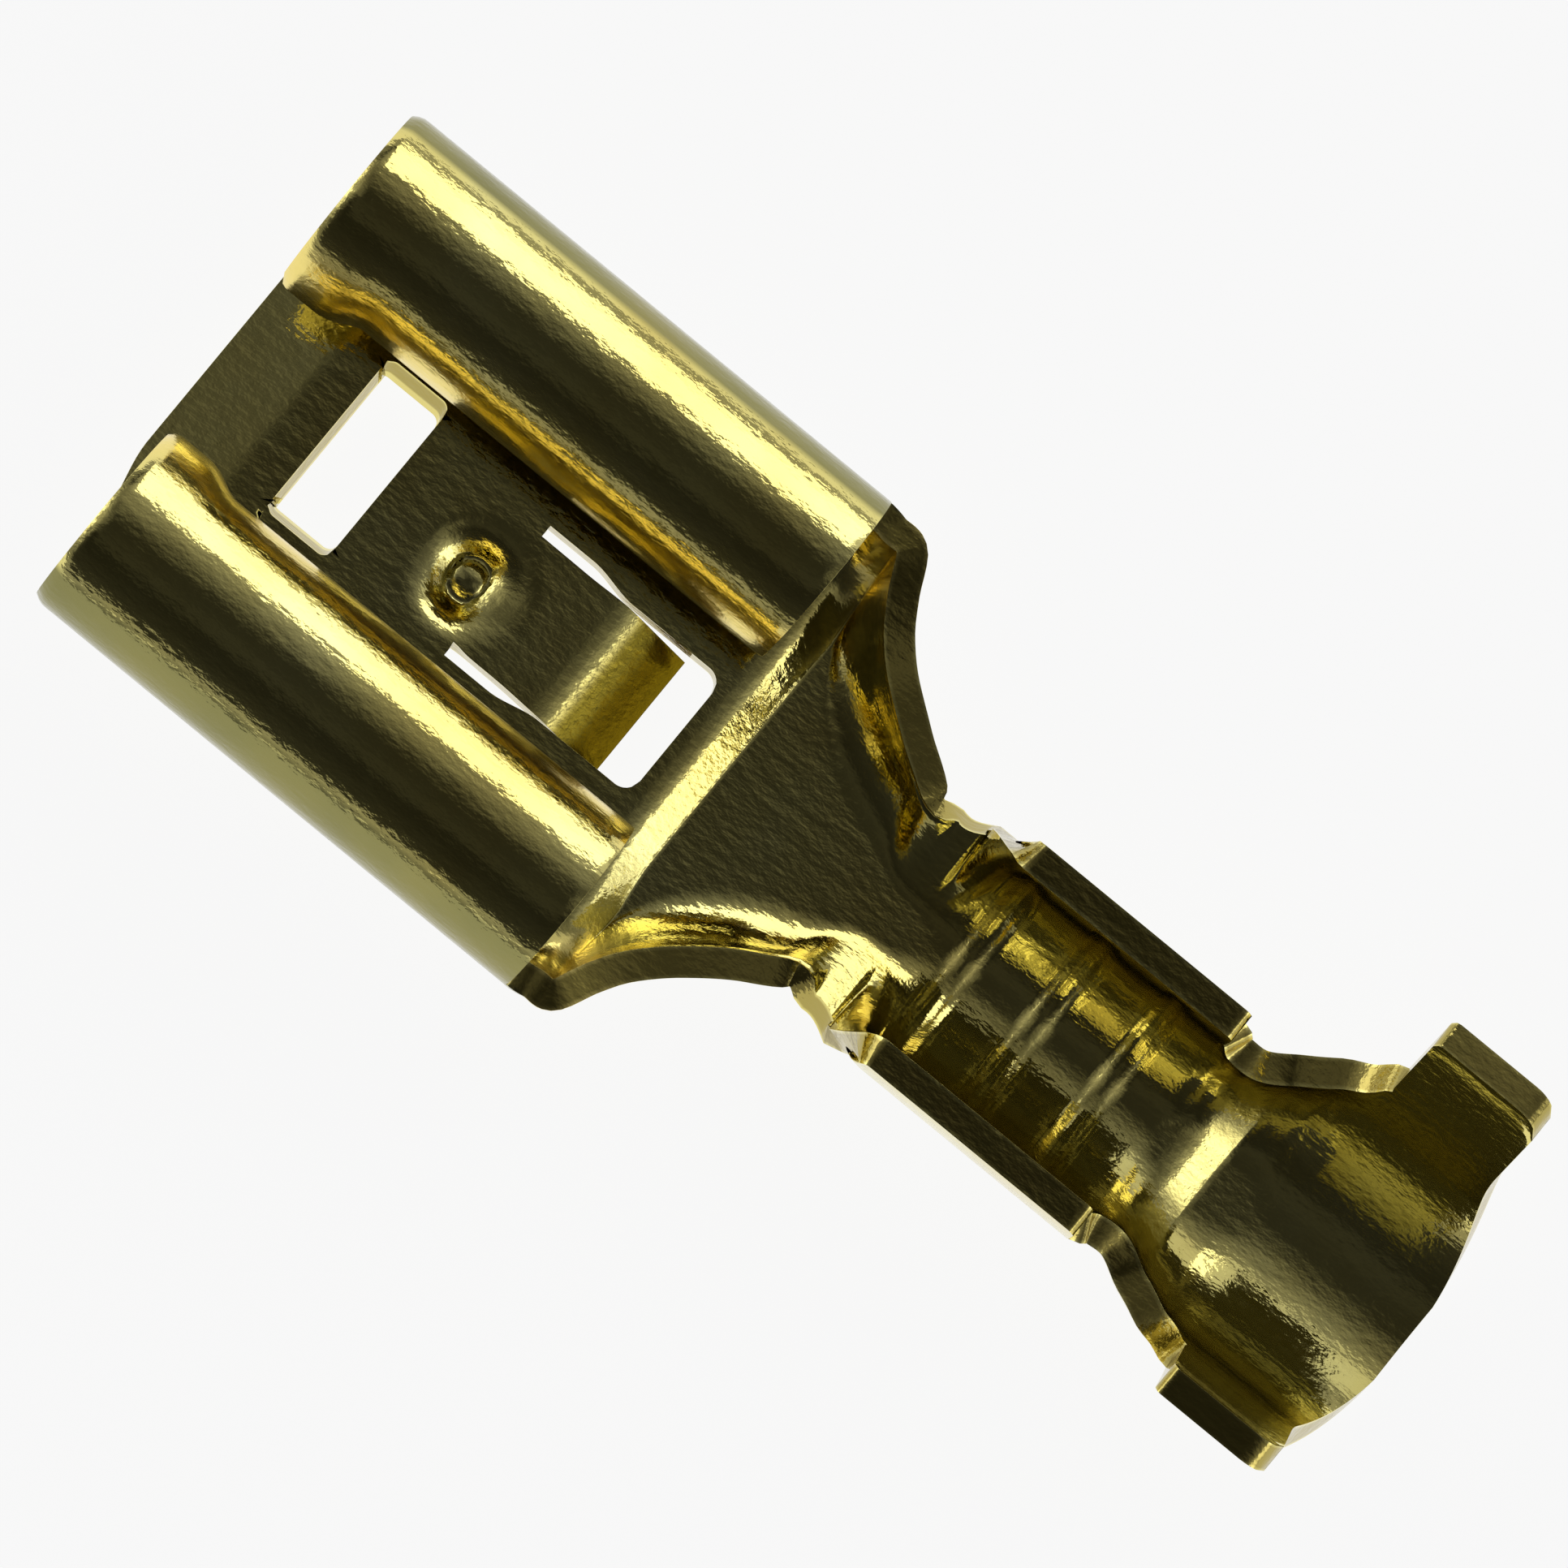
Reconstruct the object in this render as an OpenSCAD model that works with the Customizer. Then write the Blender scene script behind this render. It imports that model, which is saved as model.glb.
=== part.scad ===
// Female spade terminal for a 6.3 mm tab: one piece of brass strip, stamped and folded.
// X runs from the mouth to the wire end, Z is up, and the part is symmetric about the XZ plane.

/* [Strip] */
// Thickness of the brass strip
sheet = 0.4; // [0.3:0.02:0.5]

/* [Receptacle] */
// Width over both rolled edges
receptacle_w = 7.65; // [7:0.05:8.6]
// Length of the rolled edges
curl_l = 7.55; // [7.35:0.05:7.7]
// Outer radius of each rolled edge
curl_r = 1.25; // [1.05:0.05:1.45]
// Turn of each rolled edge, from the floor to its free lip, in degrees
curl_turn = 278; // [268:1:290]
// Length of the opened lips at the mouth
lead_l = 1.25; // [0.8:0.05:1.5]
// Share of the roll that the lips keep at the mouth
lead_keep = 0.6; // [0.5:0.05:0.9]
// Length of the bevel on the floor's front edge
bevel_l = 1.1; // [0.6:0.1:1.2]
// Depth of the bevel on the floor's front edge
bevel_d = 0.2; // [0.05:0.01:0.25]
// Height of the receptacle's floor over the neck
receptacle_step = 0.35; // [0.2:0.05:0.5]

/* [Floor openings] */
// Start of the front window, from the mouth
window_x = 1.65; // [1.3:0.05:1.8]
// Length of the front window
window_l = 0.98; // [0.5:0.02:1.1]
// Width of the front window, halfway through the strip
window_w = 2.42; // [1.8:0.02:3.2]
// How much wider the front window is at the top of the strip than at its underside
window_slant = 0.34; // [0:0.02:0.6]
// Centre of the locking dimple, from the mouth
dimple_x = 4.1; // [3.9:0.01:4.15]
// Outer radius of the groove round the locking dimple
dimple_r = 0.6; // [0.5:0.02:0.64]
// Depth of that groove
dimple_d = 0.16; // [0.1:0.01:0.2]
// Radius of the dome in the middle of the locking dimple
dome_r = 0.26; // [0.2:0.01:0.34]
// Height of that dome over the floor
dome_h = 0.06; // [0.04:0.01:0.15]

/* [Lance] */
// Start of the slots beside the lance, from the mouth
lance_x = 4.5; // [4.3:0.05:4.8]
// Width of the lance
lance_w = 1.74; // [1.4:0.02:2]
// Width of the slot on each side of the lance
lance_gap = 0.17; // [0.1:0.01:0.3]
// Place of the lance's bend, from the mouth
lance_bend_x = 5.9; // [5.6:0.05:6.1]
// Place of the lower edge of the lance's free end, from the mouth
lance_end_x = 6.63; // [6.5:0.01:6.75]
// How much narrower each slot is beside the lance's bend
slot_taper = 0.11; // [0:0.01:0.12]
// Height of the lance's free end over the ground
lance_rise = 0.0; // [0:0.05:0.3]
// End of the rear window, from the mouth
rear_window_x = 7.35; // [7.2:0.01:7.4]
// Corner radius of the rear window
rear_window_r = 0.22; // [0.1:0.02:0.3]

/* [Wire barrel] */
// Start of the wire barrel's straight part, from the mouth
wire_x = 11.7; // [11.6:0.05:11.75]
// Length of the wire barrel's straight part
wire_l = 3.27; // [3.2:0.01:3.4]
// Outer width of the wire barrel
wire_w = 3.5; // [3.3:0.05:4.1]
// Height of the wire barrel
wire_h = 2.75; // [2.4:0.05:3.4]
// Number of serrations across the wire barrel
serration_n = 3; // [1:1:3]
// Distance between serrations
serration_pitch = 1.15; // [0.9:0.05:1.2]
// Width of a serration
serration_w = 0.26; // [0.15:0.01:0.4]
// Depth of a serration
serration_d = 0.12; // [0.05:0.01:0.18]
// How far the serrations stop below the top of the wire barrel
serration_stop = 0.35; // [0.2:0.05:0.8]
// Height of the wire barrel over the insulation barrel
wire_step = 0.35; // [0.2:0.05:0.5]

/* [Insulation barrel] */
// Start of the insulation barrel's wings, from the mouth
wing_x = 16.9; // [16.8:0.05:17.2]
// Length of the wings at their tips
wing_l = 1.68; // [1.4:0.02:2]
// Height of the wings
wing_h = 3.55; // [3:0.05:4.2]
// Outer radius of the insulation barrel
barrel_r = 2.35; // [2.1:0.05:2.6]
// Slope of the wings, from the floor, in degrees
wing_slope = 70; // [62:1:80]
// How far the floor reaches past the wings
tail_l = 0.47; // [0.2:0.01:0.6]
// Radius of the wings' front corners
wing_front_r = 0.12; // [0.06:0.02:0.3]
// Radius of the wings' rear corners
wing_rear_r = 0.38; // [0.2:0.02:0.6]

/* [Hidden] */
$fn = 96;
EPS = 0.01;
// A loft's end is this much thinner, on each face, than what it runs into.
SEAM = 0.02;
ARC_STEPS = 8;

wire_z = wire_step;
receptacle_z = wire_step + receptacle_step;
curl_y = receptacle_w / 2 - curl_r;
curl_in_r = curl_r - sheet;
wire_r = wire_w / 2;
wire_end_x = wire_x + wire_l;
wing_end_x = wing_x + wing_l;
total_l = wing_end_x + tail_l;
cut_h = 4;

// Half a strip section that bends up from a flat floor: flat half-width f, outer bend radius r,
// bend angle a and height h. The outer face runs from the floor to the top, the inner one back.
// A face lies a depth inside the strip's outer face, and inset takes a little off all round.
function bend_point(f, r, a, depth) = [f + (r - depth) * sin(a), r - (r - depth) * cos(a)];
function wall_top(f, r, a, h, depth) =
    [f + r * sin(a) + (h - r * (1 - cos(a))) / tan(a), h] + depth * [-sin(a), cos(a)];
function face(f, r, a, h, depth, inset) =
    concat([for (i = [0:ARC_STEPS]) bend_point(f, r, a * i / ARC_STEPS, depth)],
           [wall_top(f, r, a, h, depth) - inset * [cos(a), sin(a)]]);
function reversed(list) = [for (i = [len(list) - 1:-1:0]) list[i]];
function opposite(p) = [-p.x, p.y];
function flipped(list) = [for (p = reversed(list)) opposite(p)];
// Both faces of the whole section: the outer one from left to right, then the inner one back.
function section(f, r, a, h, inset) =
    let (outer = face(f, r, a, h, inset, inset),
         inner = reversed(face(f, r, a, h, sheet - inset, inset)))
    concat(flipped(outer), outer, inner, flipped(inner));

// A station of a loft is [x, floor z, f, r, a, h]. Values between stations follow a smooth curve.
function hermite(p0, p1, m0, m1, u) =
    (2 * u * u * u - 3 * u * u + 1) * p0 + (u * u * u - 2 * u * u + u) * m0
    + (3 * u * u - 2 * u * u * u) * p1 + (u * u * u - u * u) * m1;
function secant(s, i) = (s[i + 1] - s[i]) / (s[i + 1].x - s[i].x);
function limited(a, b) = [for (k = [0:len(a) - 1]) a[k] * b[k] > 0 ? 2 * a[k] * b[k] / (a[k] + b[k]) : 0];
function slope_at(s, i) =
    i == 0 ? [for (v = s[0]) 0] : i == len(s) - 1 ? [for (v = s[0]) 0]
    : limited(secant(s, i - 1), secant(s, i));
function between(s, i, u) =
    let (span = s[i + 1].x - s[i].x, v = hermite(s[i], s[i + 1], slope_at(s, i) * span,
                                                 slope_at(s, i + 1) * span, u))
    concat([s[i].x + span * u], [for (k = [1:len(v) - 1]) v[k]]);
function smooth_stations(s, parts) =
    concat([for (i = [0:len(s) - 2]) for (j = [0:parts - 1]) between(s, i, j / parts)],
           [s[len(s) - 1]]);
function ring(st, inset) =
    [for (p = section(st[2], st[3], st[4], st[5], inset)) [st[0], p.x, st[1] + p.y]];
// The end rings lie a seam inside the barrels that the loft runs into.
function rings(stations, parts) =
    let (all = smooth_stations(stations, parts), last = len(all) - 1)
    [for (i = [0:last]) ring(all[i], i == 0 || i == last ? SEAM : 0)];

// Solid through a row of rings. Each ring is a strip section: one face, then the other one back.
module loft(rings) {
    n = len(rings[0]);
    last = (len(rings) - 1) * n;
    sides = [for (i = [0:n:last - n]) for (j = [0:n - 1])
             let (a = i + j, b = i + (j + 1) % n)
             each [[a, a + n, b], [b, a + n, b + n]]];
    ends = [for (j = [0:n / 2 - 2])
            let (a = j, b = j + 1, c = n - 2 - j, d = n - 1 - j)
            each [[a, b, c], [a, c, d],
                  [last + b, last + a, last + d], [last + b, last + d, last + c]]];
    polyhedron(points = [for (r = rings) each r], faces = concat(sides, ends), convexity = 8);
}

module along_x(l) rotate([90, 0, 90]) linear_extrude(l) children();
module across(w) translate([0, w / 2, 0]) rotate([90, 0, 0]) linear_extrude(w) children();

// Sector of the rolled edge between two turns, both counted from the floor.
module curl_sector(from, to) {
    far = 3 * curl_r;
    turns = [for (i = [0:6]) from + (to - from) * i / 6];
    translate([curl_y, curl_r]) intersection() {
        difference() {
            circle(curl_r);
            circle(curl_in_r);
        }
        polygon(concat([[0, 0]], [for (q = turns) far * [sin(q), -cos(q)]]));
    }
}

module both_sides() {
    children();
    mirror([1, 0]) children();
}

module receptacle_profile(turn) {
    translate([-curl_y, 0]) square([2 * curl_y, sheet]);
    both_sides() curl_sector(0, turn);
}

// The lip after the top of the roll, which opens towards the mouth.
function lip_point(q, keep, depth) =
    let (r0 = curl_r, open_q = 200, turned = min(q, open_q), rest = max(q - open_q, 0) * keep,
         big = r0 / keep, centre = [curl_y, curl_r] + (big - r0) * [-sin(turned), cos(turned)])
    rest == 0 ? [curl_y, curl_r] + (r0 - depth) * [sin(turned), -cos(turned)]
    : centre + (big - depth) * [sin(turned + rest), -cos(turned + rest)];
function lip_ring(x, keep, inset) =
    let (steps = 14, last_q = curl_turn - (inset > 0 ? 1 : 0),
         out = [for (i = [0:steps]) lip_point(180 + (last_q - 180) * i / steps, keep,
                                              i == 0 ? SEAM : inset)],
         in = [for (i = [0:steps]) lip_point(180 + (last_q - 180) * i / steps, keep,
                                             sheet - (i == 0 ? SEAM : inset))])
    [for (p = concat(out, reversed(in))) [x, p.x, p.y]];

module opened_lip() {
    steps = 8;
    keeps = [for (i = [0:steps]) let (u = max(2 * i / steps - 1, 0))
             lead_keep + (1 - lead_keep) * u * u * (3 - 2 * u)];
    loft([for (i = [0:steps]) lip_ring(lead_l * i / steps, keeps[i], i == steps ? SEAM : 0)]);
}

module rolled_receptacle() {
    along_x(lead_l) receptacle_profile(180);
    translate([lead_l, 0, 0]) along_x(curl_l - lead_l) receptacle_profile(curl_turn);
    opened_lip();
    mirror([0, 1, 0]) opened_lip();
}

module front_window() {
    low_y = (window_w - window_slant) / 2;
    top_y = (window_w + window_slant) / 2;
    translate([window_x, 0, 0]) along_x(window_l)
        polygon([[-low_y, -EPS], [low_y, -EPS], [top_y, sheet + EPS], [-top_y, sheet + EPS]]);
}

// The opening that the lance is cut free in: two slots that narrow towards the rear window,
// which has rounded corners at its far end.
module lance_opening() {
    wide = lance_w / 2 + lance_gap;
    slim = wide - slot_taper;
    end_x = rear_window_x - rear_window_r;
    taper_x = lance_bend_x - 0.7;
    translate([0, 0, -EPS]) linear_extrude(sheet + 2 * EPS) {
        polygon([[lance_x, -wide], [taper_x, -wide], [lance_bend_x, -slim], [end_x, -slim],
                 [end_x, slim], [lance_bend_x, slim], [taper_x, wide], [lance_x, wide]]);
        translate([end_x - EPS, rear_window_r - slim])
            square([rear_window_r + EPS, 2 * (slim - rear_window_r)]);
        for (side = [-1, 1])
            translate([end_x, side * (slim - rear_window_r)]) circle(rear_window_r, $fn = 48);
    }
}

module floor_bevel() {
    across(2 * curl_y) polygon([[-EPS, sheet + EPS], [-EPS, sheet - bevel_d], [bevel_l, sheet],
                                [bevel_l, sheet + EPS]]);
}

module lance() {
    // Side outline, from the floor down to the free end.
    drop = receptacle_z - lance_rise;
    first_drop = 0.15 * drop;
    flap_a = atan2(drop - first_drop, lance_end_x - lance_bend_x);
    across(lance_w) polygon([
        [lance_x, 0], [lance_bend_x, -first_drop], [lance_end_x, -drop],
        [lance_end_x + sheet * sin(flap_a), -drop + sheet * cos(flap_a)],
        [lance_bend_x + sheet * tan(flap_a / 2), sheet - first_drop], [lance_x, sheet]]);
}

// Locking dimple in the bridge between the windows: a low dome with a round groove about it.
module dimple_groove() {
    half_w = (dimple_r - dome_r) / 2 + EPS;
    ring_r = (half_w * half_w + dimple_d * dimple_d) / (2 * dimple_d);
    translate([dimple_x, 0, sheet + ring_r - dimple_d])
        rotate_extrude($fn = 64) translate([(dimple_r + dome_r) / 2, 0]) circle(ring_r, $fn = 48);
}

module dimple_dome() {
    ball_r = (dome_r * dome_r + dome_h * dome_h) / (2 * dome_h);
    intersection() {
        translate([dimple_x, 0, sheet + dome_h - ball_r]) sphere(ball_r, $fn = 64);
        translate([dimple_x, 0, sheet / 2]) cylinder(r = dome_r, h = sheet, $fn = 64);
    }
}

module receptacle() {
    color("goldenrod") translate([0, 0, receptacle_z]) {
        difference() {
            union() {
                difference() {
                    rolled_receptacle();
                    front_window();
                    lance_opening();
                    floor_bevel();
                }
                lance();
            }
            dimple_groove();
        }
        dimple_dome();
    }
}

module neck() {
    ease = 0.034;
    stations = [
        [curl_l, receptacle_z, curl_y, curl_r, 90, curl_r + 0.05],
        [7.65, receptacle_z, curl_y - 0.11, curl_r + 0.09, 90, curl_r + 0.1],
        [7.74, receptacle_z - ease, curl_y - 0.23, curl_r + 0.2, 90, curl_r + 0.18],
        [8.04, wire_z + ease, curl_y - 0.43, curl_r + 0.36, 90, curl_r + 0.4],
        [8.13, wire_z, curl_y - 0.52, curl_r + 0.38, 90, curl_r + 0.41],
        [8.4, wire_z, 1.76, 1.38, 88, 1.4],
        [8.65, wire_z, 1.52, 1.2, 86, 1.22],
        [9.15, wire_z, 1.24, 1.06, 84, 1.04],
        [9.65, wire_z, 0.98, 0.92, 80, 0.98],
        [10.15, wire_z, 0.74, 0.8, 72, 0.95],
        [10.6, wire_z, 0.48, 0.72, 52, 0.96],
        [11.05, wire_z, 0.3, 0.9, 48, 1.14],
        [11.3, wire_z, 0.12, wire_r - 0.4, 68, 1.85],
        [11.5, wire_z, 0.02, wire_r - 0.05, 86, wire_h - 0.2],
        [wire_x, wire_z, 0, wire_r, 90, wire_h]];
    color("goldenrod") loft(rings(stations, 3));
}

// Space with a round bottom and straight sides, open at the top.
module u_space(r, h) {
    translate([0, r]) circle(r);
    translate([-r, r]) square([2 * r, h]);
}

module serrations() {
    middle = wire_x + wire_l / 2 - serration_w;
    r = wire_r - sheet + serration_d;
    for (i = [0:serration_n - 1])
        translate([middle + (i - (serration_n - 1) / 2) * serration_pitch - serration_w / 2, 0,
                   sheet - serration_d])
            along_x(serration_w) u_space(r, wire_h - wire_r - serration_stop);
}

module wire_barrel() {
    color("goldenrod") translate([0, 0, wire_z]) difference() {
        translate([wire_x, 0, 0]) along_x(wire_l) difference() {
            u_space(wire_r, wire_h - wire_r);
            translate([0, sheet]) u_space(wire_r - sheet, cut_h);
        }
        serrations();
    }
}

module between_barrels() {
    ease = 0.034;
    stations = [
        [wire_end_x, wire_z, 0.12, wire_r - 0.2, 90, 1.6],
        [15.15, wire_z, 0.22, wire_r - 0.33, 90, 1.35],
        [15.4, wire_z, 0.34, wire_r - 0.44, 88, 1.35],
        [15.5, wire_z - ease, 0.36, wire_r - 0.42, 87, 1.38],
        [15.84, ease, 0.39, wire_r - 0.3, 86, 1.5],
        [15.94, 0, 0.4, wire_r - 0.25, 85, 1.55],
        [16.3, 0, 0.3, barrel_r - 0.55, 80, 1.65],
        [16.62, 0, 0.12, barrel_r - 0.22, 75, 1.8],
        [wing_x, 0, 0, barrel_r, wing_slope, 2.05]];
    color("goldenrod") loft(rings(stations, 3));
}

// Strip section of the insulation barrel: a round bottom with straight wings that lean outwards.
module barrel_section() {
    a = wing_slope;
    foot = bend_point(0, barrel_r, a, 0);
    top = wall_top(0, barrel_r, a, wing_h, 0);
    rim = wall_top(0, barrel_r, a, wing_h, sheet);
    in_foot = bend_point(0, barrel_r, a, sheet);
    in_far = in_foot + 2 * wing_h * [cos(a), sin(a)];
    difference() {
        union() {
            translate([0, barrel_r]) circle(barrel_r);
            polygon([foot, top, rim, opposite(rim), opposite(top), opposite(foot)]);
        }
        union() {
            translate([0, barrel_r]) circle(barrel_r - sheet);
            polygon([in_foot, in_far, opposite(in_far), opposite(in_foot)]);
        }
    }
}

// Side view of the insulation barrel: rounded wing tips, and a rear edge that curves out to the floor.
module barrel_outline() {
    tail_z = 0.75 * sheet;
    tail_rise = 0.8 * barrel_r;
    function corner(cx, cz, r, from, to) =
        [for (i = [0:6]) let (q = from + (to - from) * i / 6) [cx + r * cos(q), cz + r * sin(q)]];
    tip = wing_h + sheet * cos(wing_slope);
    polygon(reversed(concat(
        [[wing_x, -EPS]],
        corner(wing_x + wing_front_r, tip - wing_front_r, wing_front_r, 180, 90),
        corner(wing_end_x - wing_rear_r, tip - wing_rear_r, wing_rear_r, 90, 0),
        [for (i = [0:8]) [wing_end_x + tail_l * (1 - cos(90 * i / 8)),
                          tail_z + tail_rise * (1 - sin(90 * i / 8))]],
        [[total_l, -EPS]])));
}

module insulation_barrel() {
    color("goldenrod") intersection() {
        translate([wing_x, 0, 0]) along_x(total_l - wing_x) barrel_section();
        across(4 * barrel_r) barrel_outline();
    }
}

module terminal() {
    translate([-total_l / 2, 0, 0]) {
        receptacle();
        neck();
        wire_barrel();
        between_barrels();
        insulation_barrel();
    }
}

terminal();
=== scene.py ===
import math

import bmesh
import bpy
from mathutils import Matrix, Vector


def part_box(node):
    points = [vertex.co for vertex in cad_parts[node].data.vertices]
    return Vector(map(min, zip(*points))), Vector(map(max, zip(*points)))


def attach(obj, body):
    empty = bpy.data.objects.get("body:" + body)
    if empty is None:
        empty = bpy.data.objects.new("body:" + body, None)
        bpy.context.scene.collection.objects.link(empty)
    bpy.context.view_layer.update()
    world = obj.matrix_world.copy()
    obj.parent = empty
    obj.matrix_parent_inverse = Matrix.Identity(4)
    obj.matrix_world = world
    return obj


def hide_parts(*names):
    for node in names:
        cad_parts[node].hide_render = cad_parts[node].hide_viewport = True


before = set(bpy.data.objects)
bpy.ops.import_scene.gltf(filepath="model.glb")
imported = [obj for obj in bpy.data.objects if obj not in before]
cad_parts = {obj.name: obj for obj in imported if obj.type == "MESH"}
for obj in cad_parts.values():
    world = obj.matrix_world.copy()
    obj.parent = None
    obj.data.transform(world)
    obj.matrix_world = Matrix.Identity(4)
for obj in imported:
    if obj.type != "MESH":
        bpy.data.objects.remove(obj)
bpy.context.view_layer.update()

# All sizes of the terminal are in millimetres, with x counted from its mouth.
MM = 0.001
low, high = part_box("terminal")
LENGTH = (high[0] - low[0]) / MM
SHEET = 0.4

# Receptacle: flat floor, rolled edges whose lips open at the mouth, and the thinned, rounded mouth
FLOOR_HALF = 2.575
CURL_R, CURL_TURN, CURL_END = 1.25, 278, 7.55
CURL_MIDDLE = CURL_R - SHEET / 2
EDGE_CORNER = 0.1
LEAD_L, LEAD_KEEP, LEAD_FROM = 1.2, 0.78, 200
BEVEL_L, MOUTH_BEVEL = 1.1, 0.2
MOUTH_ROUND_L, MOUTH_ROUND_D = 0.18, 0.07

# Front window: its ends and half-width, its corners with their reach beyond its ends, and how much
# its cut edges slant
WINDOW_FRONT, WINDOW_REAR, WINDOW_HALF = 1.65, 2.63, 1.23
WINDOW_CORNER, CORNER_REACH = 0.14, 0.3
WINDOW_SLANT, WINDOW_FRONT_SLANT = 0.8, 0.45

# Locking dimple: its centre, its stretch towards the wire end and to one side, how much shallower
# it is towards the wire end, and the height of the floor at distances from its centre
DIMPLE_X, DIMPLE_Y = 4.13, -0.06
DIMPLE_LONG, DIMPLE_WIDE, DIMPLE_FADE = 1.3, 1.2, 0.55
DIMPLE = [(0.0, -0.14), (0.09, -0.16), (0.22, -0.25), (0.30, -0.25), (0.38, -0.21), (0.60, -0.04),
          (0.70, 0.005), (0.9, 0.0)]

# Lance with the slots beside it, which narrow towards its bend, and the window behind it
LANCE_HALF, SLOT_HALF = 0.87, 1.04
LANCE_FROM, LANCE_BEND, LANCE_END = 4.5, 5.82, 6.74
LANCE_DROP, TONGUE_SLOPE, FLAP_SLOPE = 0.69, 0.09, 0.69
TONGUE_BEND_FROM, TONGUE_BEND_TO, FLAP_BEND_HALF = 0.05, 0.6, 0.13
NARROW_FROM, NARROW_TO, NARROW_BY = 5.2, 5.9, 0.11
LANCE_WIDENS, LEAST_SLOT = 0.02, 0.04
REAR_WINDOW_END, REAR_WINDOW_R = 7.35, 0.22

# Wire barrel with its serrations
WIRE_FROM, WIRE_END = 11.6, 14.97
WIRE_R, WIRE_H, WIRE_CORNER = 1.75, 2.75, 0.12
FIRST_SERRATION, SERRATION_PITCH, SERRATION_COUNT = 11.88, 1.15, 3
SERRATION_W, SERRATION_DEPTH, SERRATION_SOFT = 0.26, 0.09, 0.11

# Insulation barrel, whose rear edge curves from the floor to the wings between two heights, and the
# place between the barrels where their walls are parted
WING_FROM, WING_END = 16.9, 18.58
WING_R, WING_ANGLE, WING_H = 2.35, 70, 3.55
WING_CORNERS = (0.12, 0.38)
TAIL_FROM, TAIL_LOW, TAIL_TOP = 17.2, 0.3, 2.1
PARTING = 15.9

# Small unevenness of a formed part: how far one roll sits back and the front window to one side,
# and how far the neck, the wire barrel and the wings lean
ROLL_BACK, WINDOW_ASIDE = 0.17, 0.17
NECK_LEAN, BARREL_LEAN, WING_LEAN = 0.08, 0.16, 0.12

# How far the cut edges of steep walls are sheared, and the slopes of their faces, from level at 1
# to upright at 0, between which that sets in
EDGE_SHEAR, SHEAR_FROM, SHEAR_FULL = 1.05, 0.75, 0.5

# Steps down of the underside: start, end, height before and height after.
STEPS = [(7.46, 8.12, 0.70, 0.35), (15.22, 15.97, 0.35, 0.00)]
# Stations of the folded strip: x, flat half-width, outer bend radius, bend angle and height of its
# top edge over its underside.
SPINE = [
    (0.0, FLOOR_HALF, CURL_R, 90, 1.30),
    (CURL_END, FLOOR_HALF, CURL_R, 90, 1.30),
    (7.78, 2.32, 1.48, 90, 1.40),
    (8.14, 2.08, 1.65, 88, 1.58),
    (8.40, 1.66, 1.62, 86, 1.42),
    (8.65, 1.34, 1.58, 84, 1.28),
    (9.15, 0.93, 1.50, 80, 1.08),
    (9.65, 0.68, 1.35, 76, 0.98),
    (10.15, 0.52, 1.18, 66, 0.84),
    (10.68, 0.30, 0.80, 31, 0.64),
    (11.14, 0.25, 0.90, 31, 0.75),
    (11.36, 0.12, 1.32, 60, 1.60),
    (11.53, 0.02, 1.70, 86, 2.55),
    (11.72, 0.00, WIRE_R, 90, WIRE_H),
    (WIRE_END, 0.00, WIRE_R, 90, WIRE_H),
    (15.15, 0.18, 1.46, 90, WIRE_H),
    (15.43, 0.27, 1.36, 88, WIRE_H),
    (15.95, 0.32, 1.58, 85, WIRE_H),
    (16.30, 0.30, 1.80, 80, WIRE_H),
    (16.62, 0.12, 2.13, 75, WIRE_H),
    (WING_FROM, 0.00, WING_R, WING_ANGLE, WIRE_H),
    (LENGTH, 0.00, WING_R, WING_ANGLE, WIRE_H),
]
# Height of the side walls behind the wire barrel, up to the foot of the wings.
LOW_WALL = [(WIRE_END, 1.60), (15.15, 1.35), (15.43, 1.35), (15.95, 1.55), (16.30, 1.65),
            (16.62, 1.80), (WING_FROM, 2.05), (LENGTH, 2.05)]


def smoothstep(a, b, x):
    """0 at a, 1 at b and a smooth curve between; a may be more than b."""
    u = min(max((x - a) / (b - a), 0.0), 1.0)
    return u * u * (3 - 2 * u)


def underside(x):
    """Height of the strip's underside: straight ramps with short rounded ends."""
    soft = 0.3
    for start, end, before, after in STEPS:
        if x < end or (start, end) == STEPS[-1][:2]:
            u = min(max((x - start) / (end - start), 0.0), 1.0)
            if u < soft:
                share = u * u / (2 * soft * (1 - soft))
            elif u > 1 - soft:
                share = 1 - (1 - u) ** 2 / (2 * soft * (1 - soft))
            else:
                share = (u - soft / 2) / (1 - soft)
            return before + (after - before) * share


def follow(stations, x):
    """Values at x on a smooth curve through the stations, which never overshoots them."""
    x = min(max(x, stations[0][0]), stations[-1][0])
    i = max(k for k in range(len(stations) - 1) if stations[k][0] <= x)
    a, b = stations[i], stations[i + 1]
    span = b[0] - a[0]
    u = (x - a[0]) / span

    def slope(n, k):
        if n == 0 or n == len(stations) - 1:
            return 0.0
        before, here, after = stations[n - 1], stations[n], stations[n + 1]
        one = (here[k] - before[k]) / (here[0] - before[0])
        two = (after[k] - here[k]) / (after[0] - here[0])
        return 2 * one * two / (one + two) if one * two > 0 else 0.0

    return [(2 * u ** 3 - 3 * u ** 2 + 1) * a[k] + (u ** 3 - 2 * u ** 2 + u) * span * slope(i, k)
            + (3 * u ** 2 - 2 * u ** 3) * b[k] + (u ** 3 - u ** 2) * span * slope(i + 1, k)
            for k in range(1, len(a))]


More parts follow.
